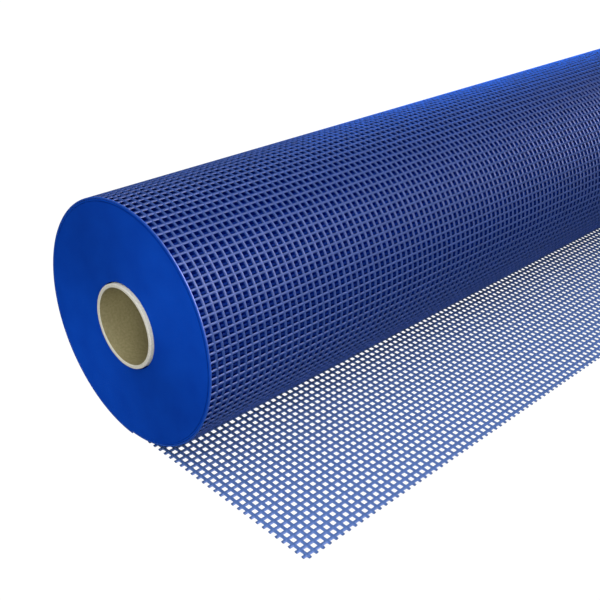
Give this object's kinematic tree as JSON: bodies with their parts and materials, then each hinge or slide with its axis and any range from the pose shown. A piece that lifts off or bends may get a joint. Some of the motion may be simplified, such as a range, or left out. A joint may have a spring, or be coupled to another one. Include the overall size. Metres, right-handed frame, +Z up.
{
  "type": "roll of fiberglass mesh",
  "caption": "Roll of blue open-weave fiberglass reinforcing mesh on a cardboard core, lying on its side with a loose tail of the web flat on the floor.",
  "frame": {"origin": "middle of the footprint, on the floor under the roll and its tail", "axes": "+Z up, +Y along the roll's axis away from the viewer, +X the way the loose tail runs out"},
  "size_m": [0.2224, 1.004, 0.151],
  "materials": {
    "mesh_web": "resin-coated glass yarn weave, satin",
    "core_board": "spiral-wound grey-brown board, matt"
  },
  "bodies": {
    "root": {"fiberglass_mesh": "mesh_web", "cardboard_core": "core_board"}
  },
  "joints": []
}
